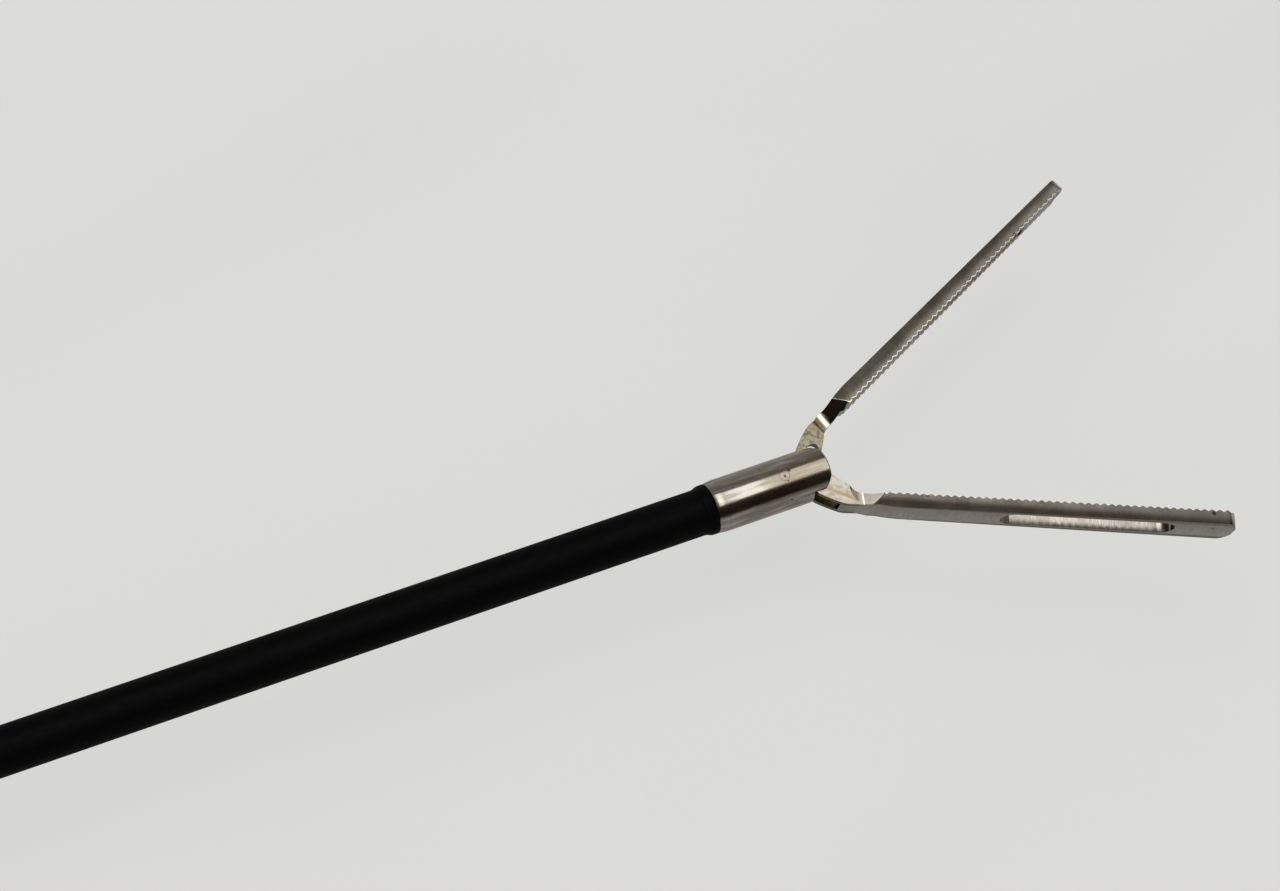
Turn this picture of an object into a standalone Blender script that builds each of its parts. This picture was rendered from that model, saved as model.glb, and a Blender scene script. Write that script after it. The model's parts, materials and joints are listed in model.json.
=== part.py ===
"""Laparoscopic bowel grasper, 5 mm class, drawn with its jaws fully open.

It lies on its side: the shaft runs along +X, the jaws swing in the XY plane and
the ring handle reaches towards -Y. Squeezing the thumb lever pushes the rod
forwards. The rod's drive pin then runs along the curved slots of both jaws and
swings them shut about the pin that crosses the clevis.
"""

from math import acos, atan2, cos, degrees, pi, radians, sin, sqrt

import bmesh
import bpy
from mathutils import Matrix, Vector

MM = 0.001

# Shaft
WORKING_LENGTH = 330 * MM  # knob's front face to the clevis's ears
SLEEVE_RADIUS = 2.23 * MM
SLEEVE_WALL = 0.24 * MM
TUBE_RADIUS = 1.94 * MM
TUBE_WALL = 0.3 * MM
ROD_RADIUS = 0.85 * MM
FIT = 0.05 * MM  # radial clearance between nested round pieces
SEAT_GAP = 0.05 * MM  # between faces that meet end to end

# Clevis at the end of the shaft
CLEVIS_RADIUS = 2.55 * MM
EAR_TIP = 4.65 * MM  # the pivot pin's axis to the ears' tips
EAR_CORNER = 2.0 * MM
SIDE_SLOT_BOTTOM = 2.55 * MM
SLEEVE_END = -7.4 * MM  # where the black sleeve stops, from the pivot pin
COLLAR_LENGTH = 1.0 * MM
COLLAR_RADIUS = 2.44 * MM
SPIGOT_LENGTH = 5 * MM
POCKET_HALF_HEIGHT = 1.27 * MM
POCKET_HALF_WIDTH = 1.96 * MM
POCKET_BOTTOM = -2.0 * MM
FORK_BORE_RADIUS = 1.45 * MM
FORK_BORE_LENGTH = 5.3 * MM

# Flare of the sleeve over the clevis's shoulder
FLARE_RADIUS = 2.46 * MM
FLARE_LENGTH = 0.55 * MM
FLARE_TAPER = 0.5 * MM

# Jaws, seen along the shaft from the pivot pin
JAW_LENGTH = 45.5 * MM
UPPER_OPENING = 25.5  # degrees from the shaft's axis
LOWER_OPENING = 23.45
PLATE_HALF = 0.37 * MM  # upper jaw's single plate
PRONG_INNER = 0.72 * MM  # lower jaw's two prongs
PRONG_OUTER = 1.22 * MM
TAIL_RADIUS = 1.15 * MM
TIP_CHAMFER = 0.08 * MM
BODY_START = 10.3 * MM
BODY_HALF_WIDTH = 1.55 * MM  # where the teeth begin
TIP_HALF_WIDTH = 2.02 * MM
TIP_ROUND = 1.4 * MM  # length of the tip's rounded end
UPPER_BACK = (2.12 * MM, 1.37 * MM)  # the back over the closing line, at the teeth's start and tip
LOWER_BACK = (2.0 * MM, 1.5 * MM)
FACE_START = 0.44 * MM  # the teeth's crests over the closing line
FACE_TIP = 0.06 * MM
BACK_EDGE_ROUND = 0.06 * MM
TOOTH_PITCH = 0.78 * MM
TOOTH_HEIGHT = 0.18 * MM
TOOTH_LAND = 0.14 * MM
WINDOW_START = 21.85 * MM
WINDOW_TO_TIP = 6.1 * MM
WINDOW_END = JAW_LENGTH - WINDOW_TO_TIP
WINDOW_HALF_WIDTH = 1.28 * MM
NECK_STEP = 7.3 * MM  # where the upper jaw's plate meets its neck
NECK_SLANT = 0.35 * MM
SCOOP_RADIUS = 2.4 * MM
UPPER_SCOOP = (8.35 * MM, 1.2 * MM, 3.25 * MM)
LOWER_SCOOP = (7.75 * MM, 1.2 * MM, 3.62 * MM)
SCOOP_AXIS = (-0.35, 1, 0.45)
CROTCH_OUTER = 5.85 * MM  # bottom of the gap between the prongs, at the back
CROTCH_INNER = 7.4 * MM  # and at the face
SLOT_SKIN = 0.22 * MM  # left over the lower jaw's cam slots, which open inwards

# Pins and the cam that closes the jaws
PIN_RADIUS = 0.5 * MM
PIN_FIT = 0.03 * MM
SLOT_HALF = 0.58 * MM
DRIVE_OPEN = 2.1 * MM  # drive pin's distance from the pivot pin, jaws open
DRIVE_CLOSED = 5.1 * MM
STROKE = DRIVE_CLOSED - DRIVE_OPEN

# Fork on the rod's end
FORK_INNER = 0.41 * MM
FORK_OUTER = 0.68 * MM
FORK_HALF_WIDTH = 1.05 * MM
FORK_CROTCH = 6.35 * MM  # behind the drive pin
FORK_BLOCK = 2.4 * MM
FORK_SOCKET = 1.6 * MM

# Knob and its hub
KNOB_LENGTH = 20 * MM
KNOB_FLUTES = 8
FLUTE_RADIUS = 3.4 * MM
HUB_RADIUS = 4 * MM
HUB_NOSE = 3 * MM
HUB_BACK = -33 * MM
RING_RADIUS = 5.2 * MM
RING_LENGTH = 1.4 * MM
SCREW_RADIUS = 1.25 * MM
SEAL_RADIUS = 0.4 * MM

# Handle
BARREL_FRONT = -20.5 * MM
BARREL_BACK = -47 * MM
BARREL_HALF_HEIGHT = 11 * MM
HANDLE_HALF = 10.3 * MM  # half the barrel's thickness, and the knob's radius: both lie flat
GRIP_HALF = 7.5 * MM
BEARING_RADIUS = 6 * MM
BEARING_LENGTH = 9 * MM
CAVITY_RADIUS = 5.6 * MM
LEVER_X = -58 * MM
LEVER_Y = 11 * MM
LEVER_HALF = 3.7 * MM
LEVER_HEAD = 6.5 * MM
SLOT_Z = 4.2 * MM
EAR_RADIUS = 9 * MM
PIVOT_RADIUS = 2.4 * MM
PIVOT_HEAD = 4.2 * MM
PIVOT_HEAD_DEPTH = 2.4 * MM
WASHER_RADIUS = 4.5 * MM
BALL_RADIUS = 1.8 * MM
BALL_FIT = 0.12 * MM
RING_SECTION = 4.6 * MM
FINGER_RING = (-49 * MM, -60 * MM)
FINGER_HALF = (13 * MM, 23 * MM)
FINGER_TILT = -12
THUMB_RING = (-116 * MM, -36 * MM)
THUMB_HALF = (12.5 * MM, 15 * MM)
THUMB_TILT = -34
POST_X = -34 * MM
POST_RADIUS = 2 * MM
POST_LENGTH = 13 * MM
POST_COLLAR_RADIUS = 4.4 * MM
POST_COLLAR_HEIGHT = 6 * MM

ROUND_SEGMENTS = 32
PIN_SEGMENTS = 20

KNOB_RADIUS = HANDLE_HALF
PIVOT_X = WORKING_LENGTH - EAR_TIP
LEVER_REST = degrees(acos(1 - STROKE**2 / (2 * LEVER_Y**2)))  # the lever's whole swing
BALL_X = LEVER_X - LEVER_Y * sin(radians(LEVER_REST) / 2)


# Scene and materials

for old in list(bpy.data.objects):
    bpy.data.objects.remove(old, do_unlink=True)

parts = bpy.data.collections.new("Bowel grasper")
bpy.context.scene.collection.children.link(parts)

root = bpy.data.objects.new("grasper", None)
parts.objects.link(root)


def material(name, colour, roughness, metallic):
    made = bpy.data.materials.new(name)
    made.use_nodes = True
    shader = made.node_tree.nodes["Principled BSDF"]
    shader.inputs["Base Color"].default_value = (*colour, 1)
    shader.inputs["Roughness"].default_value = roughness
    shader.inputs["Metallic"].default_value = metallic
    return made


STEEL = material("Brushed steel", (0.36, 0.34, 0.31), 0.32, 1)
JAW_STEEL = material("Jaw steel", (0.30, 0.29, 0.27), 0.38, 1)
PIN_STEEL = material("Pin steel", (0.45, 0.44, 0.42), 0.25, 1)
SLEEVE_BLACK = material("Black sleeve", (0.006, 0.006, 0.007), 0.5, 0)
HANDLE_BLACK = material("Black handle plastic", (0.012, 0.012, 0.013), 0.42, 0)
KNOB_GREY = material("Knob plastic", (0.02, 0.02, 0.022), 0.4, 0)
SEAL_RUBBER = material("Seal rubber", (0.02, 0.02, 0.02), 0.8, 0)
BRASS = material("Plated brass", (0.55, 0.46, 0.28), 0.3, 1)


# Helpers

def as_part(obj, name, look):
    """Names a finished piece, gives it its material and hangs it on the root."""
    for owner in list(obj.users_collection):
        owner.objects.unlink(obj)
    parts.objects.link(obj)
    obj.name = name
    obj.data.name = name
    obj.data.materials.clear()
    obj.data.materials.append(look)
    obj.parent = root
    return obj


def round_off(obj, angle=35):
    obj.data.shade_smooth()
    obj.data.set_sharp_from_angle(angle=radians(angle))
    return obj


def mesh_object(name, mesh):
    obj = bpy.data.objects.new(name, mesh)
    parts.objects.link(obj)
    return obj


def settled(obj, name=None):
    """The object with its modifiers or curve turned into one welded mesh."""
    graph = bpy.context.evaluated_depsgraph_get()
    mesh = bpy.data.meshes.new_from_object(obj.evaluated_get(graph))
    made = bpy.data.objects.new(name or obj.name, mesh)
    made.matrix_world = obj.matrix_world.copy()
    parts.objects.link(made)
    bpy.data.objects.remove(obj, do_unlink=True)
    shape = bmesh.new()
    shape.from_mesh(mesh)
    bmesh.ops.remove_doubles(shape, verts=shape.verts, dist=1e-7)
    bmesh.ops.recalc_face_normals(shape, faces=shape.faces)
    shape.to_mesh(mesh)
    shape.free()
    return made


def turned(name, profile, segments=ROUND_SEGMENTS):
    """A solid of revolution about X from (x, radius) points, listed from the tip back."""
    mesh = bpy.data.meshes.new(name)
    points = [(radius, 0, x) for x, radius in profile]
    mesh.from_pydata(points, [(i, (i + 1) % len(points)) for i in range(len(points))], [])
    obj = mesh_object(name, mesh)
    screw = obj.modifiers.new("Turn", "SCREW")
    screw.steps = segments
    screw.render_steps = segments
    screw.use_merge_vertices = True
    screw.merge_threshold = 1e-6
    screw.use_smooth_shade = False
    made = settled(obj)
    made.data.transform(Matrix.Rotation(pi / 2, 4, "Y"))
    return made


def rod_along_x(name, start, end, radius, segments=ROUND_SEGMENTS, y=0, z=0):
    bpy.ops.mesh.primitive_cylinder_add(
        vertices=segments, radius=radius, depth=end - start,
        location=((start + end) / 2, y, z), rotation=(0, pi / 2, 0))
    return settle_primitive(name)


def rod_along_y(name, x, start, end, radius, segments=ROUND_SEGMENTS, z=0):
    bpy.ops.mesh.primitive_cylinder_add(
        vertices=segments, radius=radius, depth=end - start,
        location=(x, (start + end) / 2, z), rotation=(pi / 2, 0, 0))
    return settle_primitive(name)


def rod_along_z(name, x, y, low, high, radius, segments=PIN_SEGMENTS):
    bpy.ops.mesh.primitive_cylinder_add(
        vertices=segments, radius=radius, depth=high - low,
        location=(x, y, (low + high) / 2))
    return settle_primitive(name)


def block(name, low, high):
    """A box between two corners."""
    bpy.ops.mesh.primitive_cube_add(size=1)
    obj = bpy.context.active_object
    size = [b - a for a, b in zip(low, high)]
    middle = [(a + b) / 2 for a, b in zip(low, high)]
    obj.data.transform(Matrix.Translation(middle) @ Matrix.Diagonal((*size, 1)))
    obj.name = name
    return obj


def settle_primitive(name):
    """Moves a primitive's placing into its mesh, so that it is drawn in its part's frame."""
    obj = bpy.context.active_object
    bpy.context.view_layer.update()
    obj.data.transform(obj.matrix_world)
    obj.matrix_world = Matrix.Identity(4)
    obj.name = name
    return obj


def outline_slab(name, points, low, high, plane="XY"):
    """A flat outline drawn as a filled curve and thickened between two heights."""
    curve = bpy.data.curves.new(name, "CURVE")
    curve.dimensions = "2D"
    curve.fill_mode = "BOTH"
    curve.extrude = (high - low) / 2
    spline = curve.splines.new("POLY")
    spline.points.add(len(points) - 1)
    for point, (u, v) in zip(spline.points, points):
        point.co = (u, v, 0, 1)
    spline.use_cyclic_u = True
    obj = bpy.data.objects.new(name, curve)
    parts.objects.link(obj)
    bpy.context.view_layer.update()
    made = settled(obj)
    made.data.transform(Matrix.Translation((0, 0, (high + low) / 2)))
    if plane == "XZ":
        made.data.transform(Matrix.Rotation(pi / 2, 4, "X"))
    return made


def combine(target, tool, operation="DIFFERENCE"):
    """Cuts, joins or crosses two solids at once and keeps the result on the target."""
    cut = target.modifiers.new(operation.title(), "BOOLEAN")
    cut.operation = operation
    cut.object = tool
    cut.solver = "EXACT"
    bpy.context.view_layer.update()
    graph = bpy.context.evaluated_depsgraph_get()
    mesh = bpy.data.meshes.new_from_object(target.evaluated_get(graph))
    target.modifiers.remove(cut)
    target.data = mesh
    bpy.data.objects.remove(tool, do_unlink=True)
    return target


def cut_all(target, *tools):
    for tool in tools:
        combine(target, tool)
    return target


def bevelled(obj, width, segments=2, angle=40):
    edge = obj.modifiers.new("Rounded edges", "BEVEL")
    edge.width = width
    edge.segments = segments
    edge.limit_method = "ANGLE"
    edge.angle_limit = radians(angle)
    edge.use_clamp_overlap = True
    bpy.context.view_layer.update()
    return settled(obj)


def arc(centre, radius, start, end, steps):
    """Points along an arc, in degrees, from start to end."""
    return [
        (centre[0] + radius * cos(radians(start + (end - start) * i / steps)),
         centre[1] + radius * sin(radians(start + (end - start) * i / steps)))
        for i in range(steps + 1)]


def smooth_run(points, steps=5):
    """A smooth open line through the points."""
    run = []
    last = len(points) - 1
    for i in range(last):
        before = Vector(points[max(i - 1, 0)])
        start, end = Vector(points[i]), Vector(points[i + 1])
        after = Vector(points[min(i + 2, last)])
        for k in range(steps):
            t = k / steps
            place = 0.5 * (2 * start + (end - before) * t
                           + (2 * before - 5 * start + 4 * end - after) * t * t
                           + (3 * start - before - 3 * end + after) * t**3)
            run.append(tuple(place))
    run.append(tuple(points[-1]))
    return run


# Jaws, drawn along +X from the pivot pin, with the back towards +Y

def along(start, end, share):
    return start + (end - start) * share


def body_share(x):
    return (x - BODY_START) / (JAW_LENGTH - BODY_START)


def face_height(x):
    return along(FACE_START, FACE_TIP, body_share(x))


def back_height(x, back):
    return along(*back, body_share(x))


def tooth_points(start):
    """The serrated edge, from the tip back to where the teeth begin."""
    points = []
    for i in reversed(range(int((JAW_LENGTH - start) / TOOTH_PITCH - 0.6))):
        crest = start + (i + 0.5) * TOOTH_PITCH
        valley = crest + TOOTH_PITCH / 2
        points.append((valley, face_height(valley) + TOOTH_HEIGHT))
        points.append((crest + TOOTH_LAND / 2, face_height(crest)))
        points.append((crest - TOOTH_LAND / 2, face_height(crest)))
    points.append((start, face_height(start) + TOOTH_HEIGHT))
    return points


def shank_back(back):
    """The shank's outer edge, from its tail to the straight back of the body."""
    start, end = back[0], 1.15 * BODY_START
    return smooth_run([
        (1.2 * MM, 1.0 * MM), (2.95 * MM, 0.55 * MM), (3.75 * MM, 1.05 * MM),
        (5.1 * MM, 1.55 * MM), (6.35 * MM, 1.88 * MM), (7.6 * MM, 1.86 * MM),
        (8.8 * MM, 1.86 * MM), (9.7 * MM, 0.92 * start), (10.7 * MM, 0.965 * start),
        (end, back_height(end, back))], 4)


def shank_inside(teeth_start):
    """The shank's inner edge, from the teeth back to its tail."""
    return smooth_run([
        (teeth_start - 0.4 * MM, 0.55 * MM), (8.9 * MM, 0.48 * MM), (7.9 * MM, 0.45 * MM),
        (7.2 * MM, 0.3 * MM), (6.45 * MM, -0.2 * MM), (5.7 * MM, -0.62 * MM),
        (4.9 * MM, -1.05 * MM), (3.9 * MM, -1.5 * MM), (2.6 * MM, -1.8 * MM),
        (1.7 * MM, -1.75 * MM), (0.9 * MM, -1.3 * MM)], 4)


def side_outline(teeth_start, back):
    """The jaw seen along its pivot pin."""
    tail = arc((0, 0), TAIL_RADIUS, 300, 75, 14)
    tip = back_height(JAW_LENGTH, back)
    top = [(JAW_LENGTH - TIP_CHAMFER, tip)]
    end = [(JAW_LENGTH, tip - TIP_CHAMFER), (JAW_LENGTH, face_height(JAW_LENGTH))]
    face = tooth_points(teeth_start) + shank_inside(teeth_start)
    return tail + shank_back(back) + top + end + face


def plan_outline():
    """The jaw seen from its back: a straight shank, a widening body, a rounded tip."""
    steps = 9
    turns = [radians(90 * i / steps) for i in range(steps + 1)]
    tip = [(JAW_LENGTH - TIP_ROUND * (1 - cos(a)), TIP_HALF_WIDTH * sin(a)) for a in turns]
    side = tip + [(BODY_START, BODY_HALF_WIDTH), (8.9 * MM, BODY_HALF_WIDTH),
                  (8.0 * MM, PRONG_OUTER), (-2 * TAIL_RADIUS, PRONG_OUTER)]
    return side + [(x, -z) for x, z in reversed(side[1:])]


def jaw_blank(back):
    """A tapered bar with rounded back edges, which the outlines are cut from."""
    bar = block("blank", (-3 * MM, -3 * MM, -1), (JAW_LENGTH + 1 * MM, 1, 1))
    for point in bar.data.vertices:
        width = along(BODY_HALF_WIDTH, TIP_HALF_WIDTH, body_share(point.co.x)) + 0.02 * MM
        if point.co.x < 0:
            width = BODY_HALF_WIDTH
        if point.co.y > 0:
            point.co.y = back_height(point.co.x, back)
        point.co.z = width if point.co.z > 0 else -width
    return bevelled(bar, BACK_EDGE_ROUND, 2, 60)


def cam_slot(opening, depth):
    """A slot along the drive pin's path: its distance grows as its angle falls to nothing."""
    steps = 12
    centre = []
    for i in range(steps + 1):
        reach = DRIVE_OPEN + STROKE * i / steps
        angle = radians(opening * (1 - i / steps))
        centre.append(Vector((reach * cos(angle), -reach * sin(angle))))
    left, right = [], []
    for i, place in enumerate(centre):
        ahead = centre[min(i + 1, steps)] - centre[max(i - 1, 0)]
        side = Vector((-ahead.y, ahead.x)).normalized() * SLOT_HALF
        left.append(tuple(place + side))
        right.append(tuple(place - side))
    first, last = centre[1] - centre[0], centre[-1] - centre[-2]
    start = degrees(atan2(-first.y, -first.x))
    stop = degrees(atan2(last.y, last.x))
    near = arc(centre[0], SLOT_HALF, start - 90, start + 90, 8)[1:-1]
    far = arc(centre[-1], SLOT_HALF, stop + 90, stop - 90, 10)[1:-1]
    points = left + far + list(reversed(right)) + list(reversed(near))
    return outline_slab("slot", points, -depth, depth)


def window():
    """The long opening through the jaw from its back to its teeth."""
    radius = WINDOW_HALF_WIDTH
    ends = (arc((WINDOW_END - radius, 0), radius, -90, 90, 8)
            + arc((WINDOW_START + radius, 0), radius, 90, 270, 8))
    return outline_slab("window", ends, -4 * MM, 4 * MM, "XZ")


def scoop(centre, side):
    """The hollow between shank and teeth on one side of the jaw."""
    bpy.ops.mesh.primitive_cylinder_add(vertices=40, radius=SCOOP_RADIUS, depth=8 * MM)
    obj = bpy.context.active_object
    axis = Vector(SCOOP_AXIS)
    turn = axis.to_track_quat("Z", "Y").to_matrix().to_4x4()
    obj.data.transform(Matrix.Translation(centre) @ turn)
    if side < 0:
        obj.data.transform(Matrix.Diagonal((1, 1, -1, 1)))
        obj.data.flip_normals()
    obj.name = "scoop"
    return obj


def jaw(name, opening, back, hollow, forked):
    """One jaw. The upper one has a single plate, the lower one two prongs round it."""
    side = -1 if forked else 1
    teeth_start = BODY_START if forked else BODY_START - TOOTH_PITCH / 2
    slot_depth = PRONG_OUTER - SLOT_SKIN if forked else 3 * MM
    body = outline_slab(name, side_outline(teeth_start, back), -3 * MM, 3 * MM)
    combine(body, outline_slab("plan", plan_outline(), -5 * MM, 5 * MM, "XZ"), "INTERSECT")
    combine(body, jaw_blank(back), "INTERSECT")
    cut_all(body, scoop(hollow, 1), scoop(hollow, -1), window(), cam_slot(opening, slot_depth))
    combine(body, rod_along_z("hole", 0, 0, -3 * MM, 3 * MM, PIN_RADIUS + PIN_FIT))
    if forked:
        gap = [(-3 * MM, -3 * MM), (CROTCH_INNER, -3 * MM), (CROTCH_INNER, -0.35 * MM),
               (CROTCH_OUTER, 1.15 * MM), (CROTCH_OUTER, 3 * MM), (-3 * MM, 3 * MM)]
        combine(body, outline_slab("gap", gap, -PRONG_INNER, PRONG_INNER))
    else:
        for sign in (1, -1):
            low, high = sorted((sign * PLATE_HALF, sign * 3 * MM))
            edge = [(-3 * MM, -3 * MM), (NECK_STEP - NECK_SLANT, -3 * MM), (NECK_STEP, 0),
                    (NECK_STEP + NECK_SLANT, 3 * MM), (-3 * MM, 3 * MM)]
            combine(body, outline_slab("side", edge, low, high))
    if side < 0:
        body.data.transform(Matrix.Diagonal((1, -1, 1, 1)))
        body.data.flip_normals()
    as_part(round_off(body, 30), name, JAW_STEEL)
    body.location = (PIVOT_X, 0, 0)
    body.rotation_euler = (0, 0, radians(opening) * side)
    return body


# End of the shaft

def clevis():
    shoulder = SLEEVE_RADIUS - 0.03 * MM
    spigot = TUBE_RADIUS - TUBE_WALL - FIT
    shoulder_end = SLEEVE_END - COLLAR_LENGTH
    body = turned("clevis", [
        (EAR_TIP, 0.4 * MM), (EAR_TIP, CLEVIS_RADIUS - 0.15 * MM),
        (EAR_TIP - 0.15 * MM, CLEVIS_RADIUS),
        (SLEEVE_END + COLLAR_LENGTH, CLEVIS_RADIUS), (SLEEVE_END + SEAT_GAP, COLLAR_RADIUS),
        (SLEEVE_END + SEAT_GAP, shoulder), (shoulder_end, shoulder),
        (shoulder_end, spigot), (shoulder_end - SPIGOT_LENGTH, spigot),
        (shoulder_end - SPIGOT_LENGTH, ROD_RADIUS + FIT),
        (POCKET_BOTTOM - FORK_BORE_LENGTH, ROD_RADIUS + FIT),
        (POCKET_BOTTOM - FORK_BORE_LENGTH, 0.95 * MM), (0, 0.4 * MM)], 48)
    slot = PRONG_OUTER + 0.12 * MM
    wide = CLEVIS_RADIUS + 0.02 * MM
    corner = arc((EAR_TIP - EAR_CORNER, wide - EAR_CORNER), EAR_CORNER, 90, 0, 8)
    plan = [(2 * SLEEVE_END - SPIGOT_LENGTH, wide)] + corner
    plan += [(x, -y) for x, y in reversed(plan)]
    combine(body, outline_slab("rounded ears", plan, -wide, wide), "INTERSECT")
    cut_all(
        body,
        block("pocket", (POCKET_BOTTOM, -POCKET_HALF_WIDTH, -POCKET_HALF_HEIGHT),
              (EAR_TIP + 1 * MM, POCKET_HALF_WIDTH, POCKET_HALF_HEIGHT)),
        block("side slots", (SIDE_SLOT_BOTTOM, -4 * MM, -slot),
              (EAR_TIP + 1 * MM, 4 * MM, slot)),
        rod_along_x("fork bore", POCKET_BOTTOM - FORK_BORE_LENGTH, 0, FORK_BORE_RADIUS),
        rod_along_z("pin hole", 0, 0, -4 * MM, 4 * MM, PIN_RADIUS + PIN_FIT))
    as_part(round_off(body), "clevis", STEEL)
    body.location = (PIVOT_X, 0, 0)
    return body


def sleeve():
    inner = SLEEVE_RADIUS - SLEEVE_WALL
    end = PIVOT_X + SLEEVE_END
    lip = SLEEVE_RADIUS + FIT / 2
    back = -1 * MM
    return as_part(round_off(turned("insulation_sleeve", [
        (end, lip), (end, FLARE_RADIUS - 0.06 * MM), (end - 0.06 * MM, FLARE_RADIUS),
        (end - FLARE_LENGTH, FLARE_RADIUS - 0.03 * MM),
        (end - FLARE_LENGTH - FLARE_TAPER, SLEEVE_RADIUS), (back, SLEEVE_RADIUS),
        (back, inner), (end - COLLAR_LENGTH - 2 * FIT - 0.3 * MM, inner),
        (end - COLLAR_LENGTH - 2 * FIT, lip)], 40), 50), "insulation_sleeve", SLEEVE_BLACK)


def tube():
    inner = TUBE_RADIUS - TUBE_WALL
    end = PIVOT_X + SLEEVE_END - COLLAR_LENGTH - SEAT_GAP
    return as_part(round_off(turned("inner_tube", [
        (end, inner), (end, TUBE_RADIUS), (HUB_BACK + 1 * MM, TUBE_RADIUS),
        (HUB_BACK + 1 * MM, inner)])), "inner_tube", STEEL)


def rod_fork(drive_x):
    """The rod's forked end: two slotted cheeks that straddle the upper jaw's plate."""
    tip = arc((0, 0), FORK_HALF_WIDTH, -60, 60, 8)
    back = -FORK_CROTCH - FORK_BLOCK
    sides = [(0.2 * MM, FORK_HALF_WIDTH), (back, FORK_HALF_WIDTH)]
    outline = tip + sides + [(x, -y) for x, y in reversed(sides)]
    body = outline_slab("rod_fork", outline, -FORK_OUTER, FORK_OUTER)
    slot = PIN_RADIUS + 0.08 * MM
    near, far = -DRIVE_OPEN, -DRIVE_CLOSED
    race = arc((near, 0), slot, -90, 90, 8) + arc((far, 0), slot, 90, 270, 8)
    cut_all(
        body,
        block("gap", (-FORK_CROTCH, -3 * MM, -FORK_INNER), (3 * MM, 3 * MM, FORK_INNER)),
        outline_slab("race", race, -2 * MM, 2 * MM),
        rod_along_z("pin hole", 0, 0, -2 * MM, 2 * MM, PIN_RADIUS + PIN_FIT),
        rod_along_x("socket", back - 1 * MM, back + FORK_SOCKET, FORK_OUTER - 0.2 * MM, 16))
    as_part(round_off(body), "rod_fork", STEEL)
    body.location = (drive_x, 0, 0)
    return body


def pull_rod(fork_back):
    """The rod, from the socket in its fork to the ball that the lever holds."""
    stub = FORK_OUTER - 0.2 * MM - FIT
    return as_part(round_off(turned("pull_rod", [
        (fork_back + FORK_SOCKET - SEAT_GAP, 0), (fork_back + FORK_SOCKET - SEAT_GAP, stub),
        (fork_back - SEAT_GAP, stub), (fork_back - SEAT_GAP, ROD_RADIUS),
        (BALL_X + BALL_RADIUS + 0.4 * MM, ROD_RADIUS),
        (BALL_X + BALL_RADIUS + 0.4 * MM, 0)], 20)), "pull_rod", STEEL)


def rod_ball():
    """The turned ball and its neck, screwed onto the rod's end."""
    steps = 9
    neck = ROD_RADIUS
    start = degrees(atan2(neck, sqrt(BALL_RADIUS**2 - neck**2)))
    rounds = [(BALL_X + BALL_RADIUS * cos(radians(a)), BALL_RADIUS * sin(radians(a)))
              for a in [start + (180 - start) * i / steps for i in range(steps)]]
    front = BALL_X + BALL_RADIUS + 0.35 * MM
    return as_part(round_off(turned("rod_ball", [
        (front, 0), (front, neck)] + rounds + [(BALL_X - BALL_RADIUS, 0)], 18)),
        "rod_ball", STEEL)


def pivot_pins():
    """The pin across the clevis, ground flush, and the shorter drive pin in the fork."""
    reach = CLEVIS_RADIUS - 0.02 * MM
    pin = rod_along_z("jaw_pivot_pin", 0, 0, -reach, reach, PIN_RADIUS)
    as_part(round_off(pin), "jaw_pivot_pin", PIN_STEEL)
    pin.location = (PIVOT_X, 0, 0)
    reach = PRONG_OUTER - SLOT_SKIN - FIT
    drive = rod_along_z("drive_pin", 0, 0, -reach, reach, PIN_RADIUS)
    as_part(round_off(drive), "drive_pin", PIN_STEEL)
    drive.location = (PIVOT_X + DRIVE_OPEN, 0, 0)


# Knob end of the shaft

def knob():
    front = -0.5 * MM
    back = front - KNOB_LENGTH + 1 * MM
    bore = HUB_RADIUS + FIT
    shape = turned("rotation_knob", [
        (front, bore), (front, 0.62 * KNOB_RADIUS), (front - 2 * MM, 0.74 * KNOB_RADIUS),
        (front - 6 * MM, 0.8 * KNOB_RADIUS), (front - 8.5 * MM, 0.98 * KNOB_RADIUS),
        (front - 10 * MM, KNOB_RADIUS), (back + 1.2 * MM, KNOB_RADIUS),
        (back, KNOB_RADIUS - 1.2 * MM), (back, bore)], 60)
    for i in range(KNOB_FLUTES):
        angle = 2 * pi * (i + 0.5) / KNOB_FLUTES
        reach = KNOB_RADIUS + 0.55 * FLUTE_RADIUS
        combine(shape, rod_along_x("flute", back - 5 * MM, front + 5 * MM, FLUTE_RADIUS, 20,
                                   reach * cos(angle), reach * sin(angle)))
    screw_x = front - 3.2 * MM
    combine(shape, rod_along_y("screw hole", screw_x, 2 * MM, 12 * MM, SCREW_RADIUS + FIT, 16))
    as_part(round_off(shape, 30), "rotation_knob", KNOB_GREY)
    screw = rod_along_y("knob_set_screw", screw_x, HUB_RADIUS + 2 * FIT, 0.7 * KNOB_RADIUS,
                        SCREW_RADIUS, 16)
    socket = rod_along_y("socket", screw_x, 0.7 * KNOB_RADIUS - 0.9 * MM, 12 * MM, 0.6 * MM, 6)
    as_part(round_off(combine(screw, socket)), "knob_set_screw", STEEL)


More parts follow.
